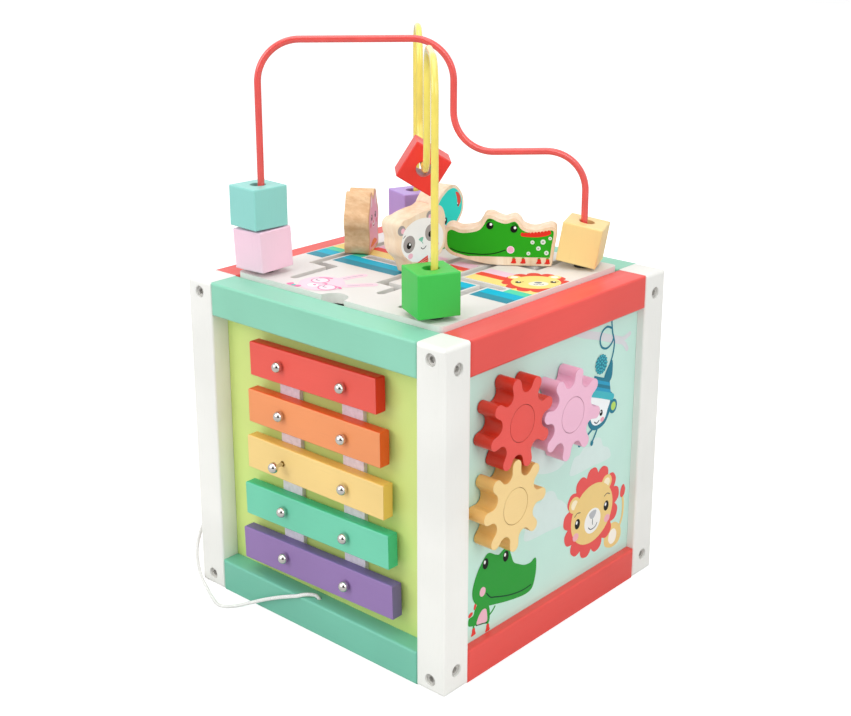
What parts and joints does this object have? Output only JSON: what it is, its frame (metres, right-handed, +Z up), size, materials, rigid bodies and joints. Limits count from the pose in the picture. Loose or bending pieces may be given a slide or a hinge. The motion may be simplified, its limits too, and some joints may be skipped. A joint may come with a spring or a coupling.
{
  "type": "wooden activity cube",
  "caption": "Wooden activity cube with xylophone bars, meshing gears, shape-sorting blocks, sliding animals in a slotted lid and beads on bent wires.",
  "frame": {"origin": "centre of the underside of the base board, level with the posts' feet", "axes": "+Z up, -Y out of the xylophone side (front), +X out of the gear side (right), -X out of the sorting side (left)"},
  "size_m": [0.338, 0.3264, 0.5045],
  "materials": {
    "white_paint": "satin white paint on wood",
    "mint_paint": "satin mint paint on wood",
    "coral_paint": "satin coral red paint on wood",
    "lime_paint": "satin lime paint on board",
    "pale_mint_paint": "satin pale mint paint on board",
    "cream_paint": "satin cream paint on board",
    "wood": "pale bare hardwood, lightly sanded",
    "bar_red": "gloss red paint on wood",
    "bar_orange": "gloss orange paint on wood",
    "bar_yellow": "gloss yellow paint on wood",
    "bar_green": "gloss green paint on wood",
    "bar_purple": "gloss purple paint on wood",
    "gear_red": "satin red paint on wood",
    "gear_pink": "satin pink paint on wood",
    "gear_yellow": "satin yellow paint on wood",
    "board_white": "satin white printed board",
    "bead_teal": "gloss teal paint on wood",
    "bead_pink": "gloss pink paint on wood",
    "bead_green": "gloss green paint on wood",
    "bead_yellow": "gloss yellow paint on wood",
    "bead_red": "gloss red paint on wood",
    "bead_purple": "gloss purple paint on wood",
    "block_orange": "gloss orange paint on wood",
    "block_blue": "gloss blue paint on wood",
    "block_red": "gloss red paint on wood",
    "felt": "soft lilac felt",
    "wire_red": "red plastic coating on steel wire",
    "wire_yellow": "yellow plastic coating on steel wire",
    "black_plastic": "black plastic",
    "steel": "zinc-plated steel",
    "chrome": "polished chrome",
    "cord": "white braided cord"
  },
  "bodies": {
    "frame": {"post_front_left": "white_paint", "post_front_right": "white_paint", "post_back_left": "white_paint", "post_back_right": "white_paint", "top_rail_front": "mint_paint", "top_rail_back": "mint_paint", "top_rail_left": "coral_paint", "top_rail_right": "coral_paint", "bottom_rail_front": "mint_paint", "bottom_rail_back": "mint_paint", "bottom_rail_left": "coral_paint", "bottom_rail_right": "coral_paint", "xylophone_panel": "lime_paint", "back_panel": "pale_mint_paint", "sorter_panel": "cream_paint", "gear_panel": "pale_mint_paint", "base_board": "wood", "lid_ledges": "wood", "frame_bolts": "steel", "bar_red": "bar_red", "bar_orange": "bar_orange", "bar_yellow": "bar_yellow", "bar_green": "bar_green", "bar_purple": "bar_purple", "bar_pins": "chrome", "felt_strips": "felt", "gear_axles": "steel", "mallet_holder": "wood", "mallet_cord": "cord"},
    "lid": {"maze_board": "board_white", "lid_tray": "white_paint", "red_wire": "wire_red", "yellow_wire": "wire_yellow", "wire_ferrules": "black_plastic"},
    "red_gear": {"gear_red": "gear_red", "gear_cap_red": "gear_red"},
    "pink_gear": {"gear_pink": "gear_pink", "gear_cap_pink": "gear_pink"},
    "yellow_gear": {"gear_yellow": "gear_yellow", "gear_cap_yellow": "gear_yellow"},
    "mallet": {"mallet_stick": "wood", "mallet_head": "coral_paint"},
    "bead_teal": {"bead_teal": "bead_teal"},
    "bead_pink": {"bead_pink": "bead_pink"},
    "bead_green": {"bead_green": "bead_green"},
    "bead_yellow": {"bead_yellow": "bead_yellow"},
    "bead_red": {"bead_red": "bead_red"},
    "bead_purple": {"bead_purple": "bead_purple"},
    "runner_bunny": {"runner_bunny": "wood"},
    "figure_bunny": {"figure_bunny": "wood"},
    "runner_panda": {"runner_panda": "wood"},
    "figure_panda": {"figure_panda": "wood"},
    "runner_elephant": {"runner_elephant": "wood"},
    "figure_elephant": {"figure_elephant": "wood"},
    "runner_croc": {"runner_croc": "wood"},
    "figure_croc": {"figure_croc": "wood"},
    "block_round": {"block_round": "block_orange"},
    "block_square": {"block_square": "block_blue"},
    "block_triangle": {"block_triangle": "block_red"}
  },
  "joints": [
    {"name": "lid_lift", "type": "slide", "parent": "frame", "child": "lid", "axis": [0, 0, 1], "range_m": [0, 0.06]},
    {"name": "pink_bead_slide", "type": "slide", "parent": "lid", "child": "bead_pink", "axis": [0, 0, 1], "range_m": [0, 0.045]},
    {"name": "teal_bead_slide", "type": "slide", "parent": "bead_pink", "child": "bead_teal", "axis": [0, 0, 1], "range_m": [0, 0.042]},
    {"name": "green_bead_slide", "type": "slide", "parent": "lid", "child": "bead_green", "axis": [0, 0, 1], "range_m": [0, 0.12]},
    {"name": "purple_bead_slide", "type": "slide", "parent": "lid", "child": "bead_purple", "axis": [0, 0, 1], "range_m": [0, 0.12]},
    {"name": "yellow_bead_slide", "type": "slide", "parent": "lid", "child": "bead_yellow", "axis": [0, 0, 1], "range_m": [0, 0.026]},
    {"name": "red_bead_slide", "type": "slide", "parent": "lid", "child": "bead_red", "axis": [0.7071, -0.7071, 0], "range_m": [0, 0.015]},
    {"name": "bunny_slide", "type": "slide", "parent": "lid", "child": "runner_bunny", "axis": [0, 1, 0], "range_m": [-0.056, 0.041]},
    {"name": "panda_slide", "type": "slide", "parent": "lid", "child": "runner_panda", "axis": [0, 1, 0], "range_m": [-0.038, 0.01]},
    {"name": "elephant_slide", "type": "slide", "parent": "lid", "child": "runner_elephant", "axis": [0, 1, 0], "range_m": [-0.03, 0.03]},
    {"name": "croc_slide", "type": "slide", "parent": "lid", "child": "runner_croc", "axis": [1, 0, 0], "range_m": [-0.0054, 0.0008]},
    {"name": "bunny_turn", "type": "hinge", "parent": "runner_bunny", "child": "figure_bunny", "pos_m": [-0.09, 0.007, 0.3006], "axis": [0, 0, 1], "range_deg": [-40, 90]},
    {"name": "panda_turn", "type": "hinge", "parent": "runner_panda", "child": "figure_panda", "pos_m": [0, -0.018, 0.3006], "axis": [0, 0, 1], "range_deg": [-30, 30]},
    {"name": "elephant_turn", "type": "hinge", "parent": "runner_elephant", "child": "figure_elephant", "pos_m": [-0.048, 0.066, 0.3006], "axis": [0, 0, 1], "range_deg": [-30, 30]},
    {"name": "croc_turn", "type": "hinge", "parent": "runner_croc", "child": "figure_croc", "pos_m": [0.041, 0.062, 0.3006], "axis": [0, 0, 1], "range_deg": [0, 20]},
    {"name": "red_gear_spin", "type": "hinge", "parent": "frame", "child": "red_gear", "pos_m": [0.152, -0.069, 0.2165], "axis": [1, 0, 0], "continuous": true},
    {"name": "pink_gear_spin", "type": "hinge", "parent": "frame", "child": "pink_gear", "pos_m": [0.152, -0.00026, 0.20326], "axis": [1, 0, 0], "continuous": true},
    {"name": "yellow_gear_spin", "type": "hinge", "parent": "frame", "child": "yellow_gear", "pos_m": [0.152, -0.07571, 0.14682], "axis": [1, 0, 0], "continuous": true},
    {"name": "round_block_push", "type": "slide", "parent": "frame", "child": "block_round", "axis": [1, 0, 0], "range_m": [-0.02, 0.012]},
    {"name": "square_block_push", "type": "slide", "parent": "frame", "child": "block_square", "axis": [1, 0, 0], "range_m": [-0.02, 0.012]},
    {"name": "triangle_block_push", "type": "slide", "parent": "frame", "child": "block_triangle", "axis": [1, 0, 0], "range_m": [-0.02, 0.012]},
    {"name": "mallet_lift", "type": "slide", "parent": "frame", "child": "mallet", "axis": [0, 0, 1], "range_m": [0, 0.05]}
  ],
  "couplings": [
    {"joint": "pink_gear_spin", "follows": "red_gear_spin", "ratio": -1},
    {"joint": "yellow_gear_spin", "follows": "red_gear_spin", "ratio": -1}
  ]
}
